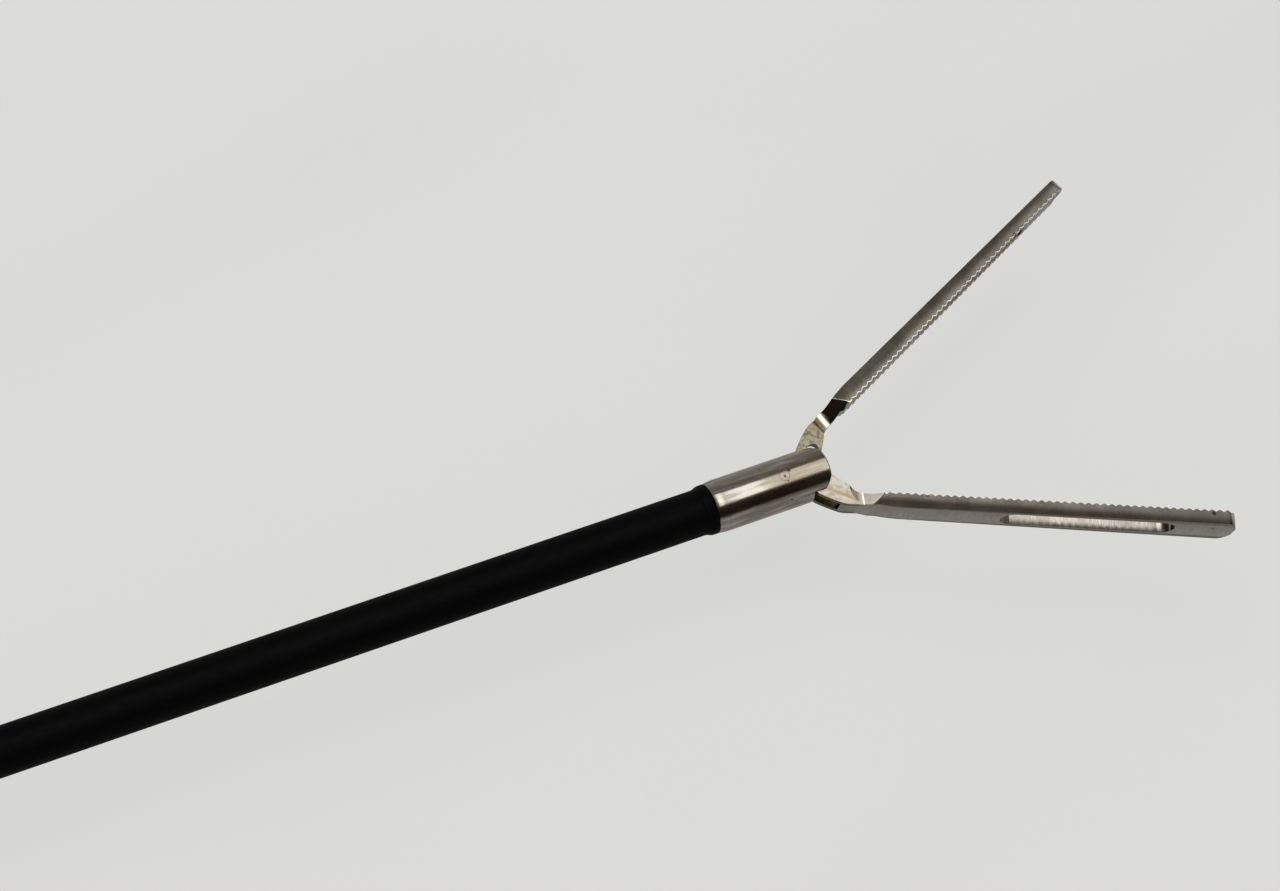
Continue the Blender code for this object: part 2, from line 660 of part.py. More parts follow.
def hub():
    bore = SLEEVE_RADIUS + 0.35 * MM
    tube_fit = TUBE_RADIUS + FIT
    groove = BARREL_FRONT - BEARING_LENGTH - 0.3 * MM
    as_part(round_off(turned("knob_hub", [
        (HUB_NOSE, bore), (HUB_NOSE, HUB_RADIUS - 1.1 * MM),
        (HUB_NOSE - 1 * MM, HUB_RADIUS - 0.3 * MM), (0, HUB_RADIUS),
        (groove, HUB_RADIUS), (groove, HUB_RADIUS - 0.5 * MM),
        (groove - RING_LENGTH, HUB_RADIUS - 0.5 * MM), (groove - RING_LENGTH, HUB_RADIUS),
        (HUB_BACK, HUB_RADIUS), (HUB_BACK, tube_fit), (-1.5 * MM, tube_fit),
        (-1.5 * MM, bore)])), "knob_hub", STEEL)
    edge = 0.1 * MM
    as_part(round_off(turned("retaining_ring", [
        (groove - edge, HUB_RADIUS - 0.5 * MM + FIT), (groove - edge, RING_RADIUS),
        (groove - RING_LENGTH + edge, RING_RADIUS),
        (groove - RING_LENGTH + edge, HUB_RADIUS - 0.5 * MM + FIT)])), "retaining_ring", STEEL)


def rod_seal():
    """The ring of rubber that wipes the rod where it leaves the tube."""
    middle = ROD_RADIUS + FIT + SEAL_RADIUS
    bpy.ops.mesh.primitive_torus_add(
        major_radius=middle, minor_radius=SEAL_RADIUS, major_segments=20,
        minor_segments=8, rotation=(0, pi / 2, 0),
        location=(HUB_BACK + 1 * MM - SEAL_RADIUS - 0.1 * MM, 0, 0))
    as_part(round_off(settle_primitive("rod_seal")), "rod_seal", SEAL_RUBBER)


def front_bearing():
    front = BARREL_FRONT - 0.3 * MM
    as_part(round_off(turned("front_bearing", [
        (front, HUB_RADIUS + FIT), (front, BEARING_RADIUS - 0.3 * MM),
        (front - 0.3 * MM, BEARING_RADIUS), (front - BEARING_LENGTH + 0.3 * MM, BEARING_RADIUS),
        (front - BEARING_LENGTH + 0.3 * MM, HUB_RADIUS + FIT)])), "front_bearing", BRASS)


# Handle

def ring_path(centre, half, tilt, count=28):
    """Points round an oval, turned by its tilt."""
    turn = Matrix.Rotation(radians(tilt), 2)
    return [Vector(centre) + turn @ Vector((half[0] * cos(a), half[1] * sin(a)))
            for a in [2 * pi * i / count for i in range(count)]]


def swept(name, places, section, depth_scale, closed):
    """A bar of round section along the places, squashed to the grip's thickness."""
    curve = bpy.data.curves.new(name, "CURVE")
    curve.dimensions = "3D"
    curve.bevel_depth = section
    curve.bevel_resolution = 3
    curve.use_fill_caps = True
    spline = curve.splines.new("POLY")
    spline.points.add(len(places) - 1)
    for point, place in zip(spline.points, places):
        point.co = (*place, 0, 1)
    spline.use_cyclic_u = closed
    obj = bpy.data.objects.new(name, curve)
    parts.objects.link(obj)
    bpy.context.view_layer.update()
    made = settled(obj)
    made.data.transform(Matrix.Diagonal((1, 1, depth_scale, 1)))
    return made


def oval_ring(name, centre, half, tilt):
    middle = (half[0] + RING_SECTION, half[1] + RING_SECTION)
    return swept(name, ring_path(centre, middle, tilt), RING_SECTION,
                 GRIP_HALF / RING_SECTION, True)


def handle_body():
    """The barrel that holds the shaft, its two ears for the lever, and the finger ring."""
    low = -BARREL_HALF_HEIGHT
    ear = arc((LEVER_X, LEVER_Y), EAR_RADIUS, 60, 190, 10)
    outline = [(BARREL_FRONT, low + 3 * MM), (BARREL_FRONT, -low - 2 * MM),
               (BARREL_FRONT - 2 * MM, -low), (POST_X - 7 * MM, -low)] + ear + smooth_run([
                   (LEVER_X - 7.5 * MM, 4 * MM), (LEVER_X - 4 * MM, -6 * MM),
                   (LEVER_X + 1 * MM, low - 1 * MM), (BARREL_BACK + 3 * MM, low - 2 * MM),
                   (BARREL_FRONT - 6 * MM, low - 0.5 * MM)], 4)
    body = outline_slab("handle_body", outline, -HANDLE_HALF, HANDLE_HALF)
    body = bevelled(body, 2.2 * MM, 3, 50)
    stem = smooth_run([(-34 * MM, -4 * MM), (-37 * MM, -16 * MM), (-41.5 * MM, -26 * MM),
                       (-45 * MM, -33 * MM)], 4)
    combine(body, swept("stem", stem, 6 * MM, 1.15 * GRIP_HALF / (6 * MM), False), "UNION")
    combine(body, oval_ring("finger ring", FINGER_RING, FINGER_HALF, FINGER_TILT), "UNION")
    lever_room = [
        (BARREL_BACK, 30 * MM), (BARREL_BACK, -30 * MM),
        (LEVER_X - 40 * MM, -30 * MM), (LEVER_X - 40 * MM, 30 * MM)]
    head, depth = PIVOT_HEAD + FIT, HANDLE_HALF - PIVOT_HEAD_DEPTH
    cut_all(
        body,
        outline_slab("lever room", lever_room, -SLOT_Z, SLOT_Z),
        rod_along_x("bearing seat", BARREL_FRONT - BEARING_LENGTH, 0, BEARING_RADIUS + FIT),
        rod_along_x("cavity", BARREL_BACK - 1 * MM, BARREL_FRONT - BEARING_LENGTH + 1 * MM,
                    CAVITY_RADIUS),
        rod_along_z("pivot hole", LEVER_X, LEVER_Y, -0.02, 0.02, PIVOT_RADIUS + FIT, 24),
        rod_along_z("screw seat", LEVER_X, LEVER_Y, depth, 0.02, head, 32),
        rod_along_z("nut seat", LEVER_X, LEVER_Y, -0.02, -depth, head, 32),
        rod_along_y("post hole", POST_X, CAVITY_RADIUS - 1 * MM, 0.03, POST_RADIUS + FIT, 20))
    return as_part(round_off(body, 40), "handle_body", HANDLE_BLACK)


def thumb_lever():
    """The lever: its head between the ears, its keyhole for the ball, its thumb ring."""
    head = arc((0, 0), LEVER_HEAD, 20, 190, 12)
    neck_low = -LEVER_Y - 9 * MM
    outline = head + [(-6.8 * MM, neck_low)] + [(2.5 * MM, neck_low), (6.2 * MM, -8 * MM)]
    body = bevelled(outline_slab("thumb_lever", outline, -LEVER_HALF, LEVER_HALF), 0.5 * MM)
    ring = (THUMB_RING[0] - LEVER_X, THUMB_RING[1] - LEVER_Y)
    arm = smooth_run([(-1 * MM, -LEVER_Y - 6.5 * MM), (-12 * MM, -LEVER_Y - 15 * MM),
                      (-26 * MM, -LEVER_Y - 22 * MM), (-42 * MM, -LEVER_Y - 28 * MM)], 4)
    combine(body, swept("arm", arm, 4.4 * MM, 0.8, False), "UNION")
    combine(body, oval_ring("thumb ring", ring, THUMB_HALF, THUMB_TILT), "UNION")
    ball = (BALL_X - LEVER_X, -LEVER_Y * cos(radians(LEVER_REST) / 2))
    room = BALL_RADIUS + BALL_FIT
    cut_all(
        body,
        rod_along_z("pivot hole", 0, 0, -0.01, 0.01, PIVOT_RADIUS + FIT, 24),
        rod_along_y("ball room", ball[0], ball[1] - 2.7 * MM, ball[1] + 4.4 * MM, room, 20),
        rod_along_x("way in", ball[0], 12 * MM, room, 20, ball[1] + 4.4 * MM),
        block("rod slot", (ball[0], ball[1] - 2.6 * MM, -1.05 * MM),
              (12 * MM, ball[1] + 4.4 * MM, 1.05 * MM)))
    as_part(round_off(body, 40), "thumb_lever", HANDLE_BLACK)
    body.location = (LEVER_X, LEVER_Y, 0)
    return body


def lever_screw():
    """The screw, nut and washers that carry the lever between the handle's ears."""
    low, high = -HANDLE_HALF, HANDLE_HALF
    sunk = 0.3 * MM
    under = high - PIVOT_HEAD_DEPTH + SEAT_GAP
    nut_top = low + PIVOT_HEAD_DEPTH - SEAT_GAP
    screw = rod_along_z("lever_pivot_screw", LEVER_X, LEVER_Y, low + 1 * MM, under + sunk,
                        PIVOT_RADIUS, 24)
    combine(screw, rod_along_z("head", LEVER_X, LEVER_Y, under, high - sunk, PIVOT_HEAD, 32),
            "UNION")
    combine(screw, rod_along_z("socket", LEVER_X, LEVER_Y, high - 1.6 * MM, 0.02, 1.5 * MM, 6))
    as_part(round_off(screw), "lever_pivot_screw", STEEL)
    nut = rod_along_z("lever_pivot_nut", LEVER_X, LEVER_Y, low + sunk, nut_top,
                      PIVOT_HEAD - FIT, 6)
    combine(nut, rod_along_z("thread", LEVER_X, LEVER_Y, -0.02, 0.02, PIVOT_RADIUS + FIT, 24))
    as_part(nut, "lever_pivot_nut", STEEL)
    for name, sign in (("washer_left", 1), ("washer_right", -1)):
        faces = sorted((sign * (LEVER_HALF + SEAT_GAP), sign * (SLOT_Z - SEAT_GAP)))
        washer = rod_along_z(name, LEVER_X, LEVER_Y, *faces, WASHER_RADIUS, 32)
        combine(washer, rod_along_z("hole", LEVER_X, LEVER_Y, -0.02, 0.02,
                                    PIVOT_RADIUS + FIT, 24))
        as_part(round_off(washer), name, STEEL)


def high_frequency_post():
    """The insulated post on the barrel, where a generator's lead would plug on."""
    base = BARREL_HALF_HEIGHT + SEAT_GAP
    top = base + POST_COLLAR_HEIGHT
    collar = rod_along_y("post_collar", POST_X, base, top, POST_COLLAR_RADIUS, 24)
    collar = bevelled(collar, 0.6 * MM, 2, 50)
    combine(collar, rod_along_y("hole", POST_X, 0, 0.04, POST_RADIUS + FIT, 20))
    as_part(round_off(collar, 50), "post_collar", HANDLE_BLACK)
    post = rod_along_y("hf_post", POST_X, CAVITY_RADIUS + 1 * MM, top + POST_LENGTH,
                       POST_RADIUS, 20)
    as_part(round_off(bevelled(post, 0.5 * MM, 2, 50)), "hf_post", BRASS)


# Assembly

def build():
    jaw("jaw_upper", UPPER_OPENING, UPPER_BACK, UPPER_SCOOP, False)
    jaw("jaw_lower", LOWER_OPENING, LOWER_BACK, LOWER_SCOOP, True)
    clevis()
    drive_x = PIVOT_X + DRIVE_OPEN
    rod_fork(drive_x)
    pull_rod(drive_x - FORK_CROTCH - FORK_BLOCK)
    rod_ball()
    pivot_pins()
    sleeve()
    tube()
    hub()
    knob()
    rod_seal()
    front_bearing()
    handle_body()
    thumb_lever()
    lever_screw()
    high_frequency_post()


def stand_on_origin():
    """Moves the whole part so that the middle of its underside is the origin."""
    bpy.context.view_layer.update()
    graph = bpy.context.evaluated_depsgraph_get()
    corners = [obj.matrix_world @ point.co
               for obj in parts.objects if obj.type == "MESH"
               for point in obj.evaluated_get(graph).data.vertices]
    low = Vector([min(c[i] for c in corners) for i in range(3)])
    high = Vector([max(c[i] for c in corners) for i in range(3)])
    root.location = (-(low.x + high.x) / 2, -(low.y + high.y) / 2, -low.z)


build()
stand_on_origin()
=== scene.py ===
"""Finishes, lights and camera for a laparoscopic bowel grasper.

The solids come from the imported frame. The pieces here give them their ground steel,
black sleeve and moulded handle, and the stage holds a pale floor, two soft lamps, the
camera and a studio sky, whose long softbox and dim sides make polished steel look round.
"""

import json
from math import cos, radians, sin

import bpy
from bpy.props import FloatProperty, FloatVectorProperty, PointerProperty
from bpy.types import Operator, Panel, PropertyGroup
from mathutils import Matrix, Vector


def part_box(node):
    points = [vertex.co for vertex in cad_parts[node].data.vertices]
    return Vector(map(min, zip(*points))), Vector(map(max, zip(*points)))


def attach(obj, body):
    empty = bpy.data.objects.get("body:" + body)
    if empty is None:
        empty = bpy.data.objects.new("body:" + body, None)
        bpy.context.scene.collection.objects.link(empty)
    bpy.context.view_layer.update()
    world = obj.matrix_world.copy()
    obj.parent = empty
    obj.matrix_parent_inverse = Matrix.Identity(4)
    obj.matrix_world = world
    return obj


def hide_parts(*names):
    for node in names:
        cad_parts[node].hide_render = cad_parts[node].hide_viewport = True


bl_info = {
    "name": "Bowel grasper finishes",
    "version": (1, 0, 0),
    "blender": (4, 5, 0),
    "location": "View3D > Sidebar > Grasper",
    "description": "Dresses a laparoscopic bowel grasper and sets up its studio",
    "category": "Object",
}

MM = 0.001
DARK = (0.02, 0.018, 0.015)
# In metres
FLOOR_SIDE = 40

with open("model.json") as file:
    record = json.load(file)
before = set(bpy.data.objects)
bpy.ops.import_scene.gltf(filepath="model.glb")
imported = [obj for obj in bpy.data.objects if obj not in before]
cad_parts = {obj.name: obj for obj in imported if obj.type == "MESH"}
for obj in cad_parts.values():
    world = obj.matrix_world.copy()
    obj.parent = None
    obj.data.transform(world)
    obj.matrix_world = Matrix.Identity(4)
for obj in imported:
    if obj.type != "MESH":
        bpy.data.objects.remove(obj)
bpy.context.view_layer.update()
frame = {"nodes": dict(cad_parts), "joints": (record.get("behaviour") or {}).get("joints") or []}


def joint(name):
    return next(one for one in frame["joints"] if one["name"] == name)


PIVOT = Vector(joint("upper_jaw_swing")["pos_m"])
CLEVIS_RADIUS = (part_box("clevis")[1].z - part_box("clevis")[0].z) / 2

# Stretches of a jaw from the pivot pin, with a little room beside what they hold
STEP = (6.8 * MM, 7.8 * MM)
SCOOP_END = 12 * MM
BODY_START = 9.5 * MM
WINDOW = (20 * MM, 41 * MM)
# Nearer to a jaw's middle lie its shank and its window, and past this its outer sides
OUTER_SIDE = 1.35 * MM
# The least value of the attribute "scooped" in a scoop, where it is 0 everywhere else
LEAST_SCOOPED = 0.02


class Jaw:
    """What sets one jaw apart. Lengths are given in millimetres, in the jaw's own frame.

    The walls say how far from the middle the shank's narrow walls lie. The scoop's values
    say where its shading starts to turn, over what length, and to which normal. The marks
    are small dark stains, each with its place and radius.
    """

    def __init__(self, side, opening, walls, scoop_start, scoop_reach, scoop_normal, marks):
        self.side = side
        self.opening = radians(opening)
        self.upper = opening > 0
        self.outward = 1 if self.upper else -1
        self.turn = Matrix.Rotation(-self.opening, 3, "Z")
        self.walls = walls
        self.scoop_start = scoop_start * MM
        self.scoop_reach = scoop_reach * MM
        self.scoop_normal = scoop_normal
        self.marks = marks

    def place(self, point):
        """A point in the jaw's own frame, whose X runs from the pivot pin to the tip."""
        return self.turn @ (point - PIVOT)


JAWS = (
    Jaw("upper", -joint("upper_jaw_swing")["range_deg"][0], walls=(-0.1, 0.34),
        scoop_start=7.9, scoop_reach=0.7, scoop_normal=(-0.1, -0.5, 0.86),
        marks=(((37.1, 0.3, 1.8), 0.3), ((37.5, 1.2, 1.85), 0.16))),
    Jaw("lower", -joint("lower_jaw_swing")["range_deg"][1], walls=(0.75, 1.17),
        scoop_start=7.95, scoop_reach=0.2, scoop_normal=(-0.03, 0.04, 1),
        marks=(((42.8, -0.5, 2.0), 0.28), ((43.1, -1.5, 0.6), 0.24), ((14.2, -0.6, 1.6), 0.2),
               ((25.5, -0.45, 1.8), 0.12))))
# Dark stains on the clevis in millimetres: places from the pivot pin's middle, and radii
CLEVIS_MARKS = (((0.02, -0.07, 2.53), 0.2), ((0.62, 0.35, 2.5), 0.24), ((0.1, -2.2, 1.45), 0.2),
                ((1.1, 0.95, 2.37), 0.12), ((-1.9, 1.5, 2.1), 0.14), ((0.15, -0.6, 2.5), 0.12))


# Sizes and colours that a user would change

class SteelFinish(PropertyGroup):
    colour: FloatVectorProperty(
        name="Steel", description="Colour of the bare ground steel", subtype="COLOR",
        size=3, min=0, max=1, default=(0.5, 0.475, 0.43))
    stain: FloatVectorProperty(
        name="Stain", description="Golden brown bloom on the jaws' shanks", subtype="COLOR",
        size=3, min=0, max=1, default=(0.27, 0.2, 0.11))
    roughness: FloatProperty(
        name="Roughness", description="How dull the ground faces are", min=0.05, max=1,
        default=0.19, subtype="FACTOR")


class PlasticFinish(PropertyGroup):
    sleeve: FloatVectorProperty(
        name="Sleeve", description="Colour of the insulation sleeve", subtype="COLOR",
        size=3, min=0, max=1, default=(0.0012, 0.0012, 0.0013))
    handle: FloatVectorProperty(
        name="Handle", description="Colour of the moulded handle", subtype="COLOR",
        size=3, min=0, max=1, default=(0.012, 0.012, 0.013))


class StageSettings(PropertyGroup):
    ground: FloatVectorProperty(
        name="Ground", description="Colour of the pale floor", subtype="COLOR",
        size=3, min=0, max=1, default=(0.718, 0.717, 0.694))
    softbox: FloatProperty(
        name="Softbox", description="Brightness of the long softbox that the steel reflects",
        min=0, max=10, default=1.75)
    lens: FloatProperty(
        name="Lens", description="Focal length on a 36 mm sensor, in millimetres",
        min=10, max=300, default=79.16)


# Small tools

def deselect_all():
    if bpy.context.object and bpy.context.object.mode != "OBJECT":
        bpy.ops.object.mode_set(mode="OBJECT")
    bpy.ops.object.select_all(action="DESELECT")


def activate(obj):
    deselect_all()
    obj.select_set(True)
    bpy.context.view_layer.objects.active = obj


def merged_copy(node, name):
    """A copy of a solid with its loose triangles merged and its flat faces made whole."""
    source = frame["nodes"][node]
    mesh = source.data.copy()
    mesh.name = name
    obj = bpy.data.objects.new(name, mesh)
    bpy.context.scene.collection.objects.link(obj)
    activate(obj)
    bpy.ops.object.mode_set(mode="EDIT")
    bpy.ops.mesh.select_all(action="SELECT")
    bpy.ops.mesh.remove_doubles(threshold=2e-6)
    bpy.ops.mesh.dissolve_limited(angle_limit=radians(0.6))
    bpy.ops.object.mode_set(mode="OBJECT")
    return obj


def smooth(obj, angle=30):
    """Smooth shading that leaves large flat faces flat."""
    activate(obj)
    bpy.ops.object.shade_smooth_by_angle(angle=radians(angle))
    weigh = obj.modifiers.new("Flat faces lead", "WEIGHTED_NORMAL")
    weigh.mode = "FACE_AREA"
    weigh.weight = 90
    weigh.keep_sharp = True
    bpy.ops.object.modifier_apply(modifier=weigh.name)
    return obj


def soft_edges(obj, width, segments=2, angle=35):
    """Breaks the sharp edges, so that they catch the light."""
    activate(obj)
    edge = obj.modifiers.new("Broken edges", "BEVEL")
    edge.width = width
    edge.segments = segments
    edge.limit_method = "ANGLE"
    edge.angle_limit = radians(angle)
    bpy.ops.object.modifier_apply(modifier=edge.name)
    return obj


def bevel_where(obj, wanted, width, segments, clamp=True):
    """Rounds the edges that pass the test, which gets an edge's ends and its faces' normals."""
    mesh = obj.data
    beside = {}
    for face in mesh.polygons:
        face.select = False
        for key in face.edge_keys:
            beside.setdefault(key, []).append(face.normal.copy())
    for vertex in mesh.vertices:
        vertex.select = False
    for edge in mesh.edges:
        ends = [mesh.vertices[index].co for index in edge.vertices]
        edge.select = wanted(ends, beside[edge.key])
    activate(obj)
    bpy.ops.object.mode_set(mode="EDIT")
    bpy.ops.mesh.select_mode(type="EDGE")
    bpy.ops.mesh.bevel(offset=width, segments=segments, affect="EDGES", clamp_overlap=clamp)
    bpy.ops.mesh.select_all(action="DESELECT")
    bpy.ops.object.mode_set(mode="OBJECT")


def edge_tests(jaw):
    """The tests that find a jaw's tooth rims, scoop lips and back corners among its edges."""

    def tooth_rim(ends, normals):
        """Whether an edge lies between a side and the toothed face."""
        ups = sorted(abs(normal.z) for normal in normals)
        inward = min((jaw.turn @ normal).y * jaw.outward for normal in normals)
        middle = jaw.place((ends[0] + ends[1]) / 2)
        return (len(ups) == 2 and ups[0] < 0.3 and ups[1] > 0.98 and inward < -0.3
                and BODY_START < middle.x < 44 * MM and abs(middle.z) > 1.4 * MM)

    def scoop_lip(ends, normals):
        """Whether an edge lies between a scoop and a side."""
        ups = sorted(abs(normal.z) for normal in normals)
        middle = jaw.place((ends[0] + ends[1]) / 2)
        return (len(ups) == 2 and 0.3 < ups[0] < 0.92 and ups[1] > 0.97
                and 8 * MM < middle.x < 11.2 * MM and abs(middle.z) > OUTER_SIDE)

    def back_corner(ends, normals):
        """Whether an edge lies between the jaw's back and its sides or its tip."""
        sides = [(jaw.turn @ normal).y * jaw.outward > 0.8 for normal in normals]
        middle = (jaw.place(ends[0]) + jaw.place(ends[1])) / 2
        in_window = WINDOW[0] < middle.x < WINDOW[1] and abs(middle.z) < OUTER_SIDE
        return sides.count(True) == 1 and middle.x > BODY_START and not in_window

    return tooth_rim, scoop_lip, back_corner


def clear_slot(lever):
    """Lowers the front edge of the slot's floor, which the rod would touch at full squeeze."""
    ball = (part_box("rod_ball")[0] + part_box("rod_ball")[1]) / 2
    bpy.ops.object.mode_set(mode="EDIT")
    bpy.ops.mesh.select_mode(type="VERT")
    bpy.ops.mesh.select_all(action="DESELECT")
    bpy.ops.object.mode_set(mode="OBJECT")
    for vertex in lever.data.vertices:
        place = vertex.co - ball
        vertex.select = (place.x > 2.5 * MM and abs(place.z) < 1.2 * MM
                         and -2.8 * MM < place.y < -2.4 * MM)
    bpy.ops.object.mode_set(mode="EDIT")
    bpy.ops.transform.translate(value=(0, -0.3 * MM, 0))
    bpy.ops.object.mode_set(mode="OBJECT")


def true_round(obj, slack=0.04 * MM):
    """Shades what lies at the clevis's outside as the true cylinder about the shaft's axis."""
    mesh = obj.data
    normals = [corner.vector.copy() for corner in mesh.corner_normals]
    for face in mesh.polygons:
        for index in face.loop_indices:
            out = mesh.vertices[mesh.loops[index].vertex_index].co - PIVOT
            out.x = 0
            near = abs(out.length - CLEVIS_RADIUS) < slack
            if near and face.normal.angle(out) < radians(12):
                normals[index] = out.normalized()
    mesh.normals_split_custom_set(normals)


def ease_scoop(obj, jaw):
    """Shades a jaw's scoops as polished at their start, then turning to the jaw's own normal."""
    mesh = obj.data
    scooped = mesh.attributes.new("scooped", "FLOAT", "CORNER").data
    normals = [corner.vector.copy() for corner in mesh.corner_normals]
    for face in mesh.polygons:
        place = jaw.place(face.center)
        step = place.x < STEP[1] and (jaw.turn @ face.normal).x < -0.3
        hollow = place.z * face.normal.z > 0 and 0.3 < abs(face.normal.z) < 0.995
        beside = STEP[0] < place.x < SCOOP_END and 0.38 * MM < abs(place.z) < 1.48 * MM
        if not (beside and (step or hollow)):
            continue
        side = 1 if place.z > 0 else -1
        level = Vector((0, 0, side))
        x, y, z = jaw.scoop_normal
        goal = jaw.turn.transposed() @ Vector((x, y, z * side))
        for index in face.loop_indices:
            corner = jaw.place(mesh.vertices[mesh.loops[index].vertex_index].co)
            part = min(1, max(0, (corner.x - jaw.scoop_start) / jaw.scoop_reach))
            normals[index] = level.lerp(goal, part * part * (3 - 2 * part)).normalized()
            scooped[index].value = LEAST_SCOOPED + (1 - LEAST_SCOOPED) * part
    mesh.normals_split_custom_set(normals)


def lean_flats(obj, jaw, lean):
    """Shades a jaw's flats as hollow ground towards its tip, and its tooth rims as polished."""
    mesh = obj.data
    back = jaw.turn.transposed()
    normals = [corner.vector.copy() for corner in mesh.corner_normals]
    for face in mesh.polygons:
        place = jaw.place(face.center)
        up = abs(face.normal.z)
        if abs(place.z) < OUTER_SIDE:
            if jaw.upper and up > 0.9 and WINDOW[0] < place.x < WINDOW[1]:
                for index in face.loop_indices:
                    side = 1 if normals[index].z > 0 else -1
                    normals[index] = back @ Vector((0, -0.25, side * 0.97))
            continue
        if place.x < 8.4 * MM:
            continue
        by_scoop = place.x < 11.5 * MM
        flat = up > (0.9 if by_scoop else 0.985)
        by_back = place.y * jaw.outward > 1.15 * MM
        rim = 0.6 < up < 0.985 and place.x < 43.5 * MM and face.area < 0.035 * MM * MM
        for index in face.loop_indices:
            side = 1 if normals[index].z > 0 else -1
            if rim and not by_back:
                normals[index] = back @ Vector((sin(lean / 3), 0, side * cos(lean / 3)))
            elif flat or by_back or place.x > 44.2 * MM:
                if abs(normals[index].z) > cos(lean) or (flat and by_scoop):
                    normals[index] = back @ Vector((sin(lean), 0, side * cos(lean)))
    mesh.normals_split_custom_set(normals)


def finish_piece(obj, body, look, node):
    """Gives a piece its material and its body, and hides the solid that it stands for."""
    obj.data.materials.clear()
    obj.data.materials.append(look)
    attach(obj, body)
    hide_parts(node)
    deselect_all()


# Materials

class Patch:
    """Adds and wires nodes by short calls."""

    def __init__(self, tree, place):
        self.nodes = tree.nodes
        self.links = tree.links
        self.place = self.nodes.new("ShaderNodeTexCoord").outputs[place]

    def wire(self, value, socket):
        if hasattr(value, "is_output"):
            self.links.new(value, socket)
        elif value is not None:
            socket.default_value = value

    def moved(self, location=(0, 0, 0), turn=0, scale=(1, 1, 1), place=None):
        """The place measured from a point, turned about Z and stretched."""
        node = self.nodes.new("ShaderNodeMapping")
        node.vector_type = "TEXTURE"
        node.inputs["Location"].default_value = location
        node.inputs["Rotation"].default_value = (0, 0, turn)
        node.inputs["Scale"].default_value = scale
        self.links.new(place or self.place, node.inputs["Vector"])
        return node.outputs["Vector"]

    def noise(self, place, scale, detail):
        node = self.nodes.new("ShaderNodeTexNoise")
        node.inputs["Scale"].default_value = scale
        node.inputs["Detail"].default_value = detail
        node.inputs["Roughness"].default_value = 0.55
        self.links.new(place, node.inputs["Vector"])
        return node.outputs["Fac"]

    def attribute(self, name):
        node = self.nodes.new("ShaderNodeAttribute")
        node.attribute_name = name
        return node.outputs["Fac"]

    def ramp(self, value, stops):
        node = self.nodes.new("ShaderNodeValToRGB")
        points = node.color_ramp.elements
        while len(points) < len(stops):
            points.new(0.5)
        for point, (position, colour) in zip(points, stops):
            point.position = position
            point.color = (*colour, 1)
        self.links.new(value, node.inputs["Fac"])
        return node.outputs["Color"]

    def mix(self, factor, first, second, mode="MIX"):
        node = self.nodes.new("ShaderNodeMix")
        node.data_type = "RGBA"
        node.blend_type = mode
        self.wire(factor, node.inputs["Factor"])
        for value, socket in ((first, node.inputs[6]), (second, node.inputs[7])):
            if isinstance(value, tuple):
                value = (*value, 1)
            self.wire(value, socket)
        return node.outputs[2]

    def maths(self, operation, first, second=None):
        node = self.nodes.new("ShaderNodeMath")
        node.operation = operation
        self.wire(first, node.inputs[0])
        self.wire(second, node.inputs[1])
        return node.outputs[0]

    def times(self, first, second):
        return self.maths("MULTIPLY", first, second)

    def between(self, value, low, high, start=0.0, end=1.0):
        node = self.nodes.new("ShaderNodeMapRange")
        node.interpolation_type = "SMOOTHSTEP"
        node.inputs["From Min"].default_value = low
        node.inputs["From Max"].default_value = high
        node.inputs["To Min"].default_value = start
        node.inputs["To Max"].default_value = end
        self.links.new(value, node.inputs["Value"])
        return node.outputs["Result"]

    def between_straight(self, value, low, high):
        """From 0 to 1 between two values, without easing."""
        result = self.between(value, low, high)
        result.node.interpolation_type = "LINEAR"
        return result

    def part_of(self, place, axis):
        node = self.nodes.new("ShaderNodeSeparateXYZ")
        self.links.new(place, node.inputs[0])
        return node.outputs[axis]

    def band(self, value, low, high, soft):
        """1 between two values, falling to 0 over a soft margin outside them."""
        rise = self.between(value, low - soft, low)
        fall = self.between(value, high, high + soft, 1, 0)
        return self.times(rise, fall)

    def spot(self, centre, radius, place=None):
        """1 within a small round patch, falling to 0 at its edge."""
        node = self.nodes.new("ShaderNodeVectorMath")
        node.operation = "DISTANCE"
        self.links.new(place or self.place, node.inputs[0])
        node.inputs[1].default_value = centre
        return self.between(node.outputs["Value"], radius * 0.3, radius, 1, 0)


class Recipe(Patch):
    """A material built on one Principled shader."""

    def __init__(self, name):
        self.material = bpy.data.materials.new(name)
        self.material.use_nodes = True
        super().__init__(self.material.node_tree, "Object")
        self.shader = self.nodes["Principled BSDF"]

    def bump(self, height, strength, distance):
        node = self.nodes.new("ShaderNodeBump")
        node.inputs["Strength"].default_value = strength
        node.inputs["Distance"].default_value = distance
        self.links.new(height, node.inputs["Height"])
        self.links.new(node.outputs["Normal"], self.shader.inputs["Normal"])

    def metal(self, colour, roughness):
        self.shader.inputs["Metallic"].default_value = 1
        self.wire(colour, self.shader.inputs["Base Color"])
        self.wire(roughness, self.shader.inputs["Roughness"])
        return self.material

    def plastic(self, colour, roughness, specular=0.5):
        self.shader.inputs["Specular IOR Level"].default_value = specular
        self.wire(colour, self.shader.inputs["Base Color"])
        self.wire(roughness, self.shader.inputs["Roughness"])
        return self.material


def tinted(colour, share, warmth=0.0):
    """A darker or lighter shade of a colour, browner by its warmth."""
    return (share * colour[0], share * colour[1] * (1 - 0.38 * warmth),
            share * colour[2] * (1 - warmth))


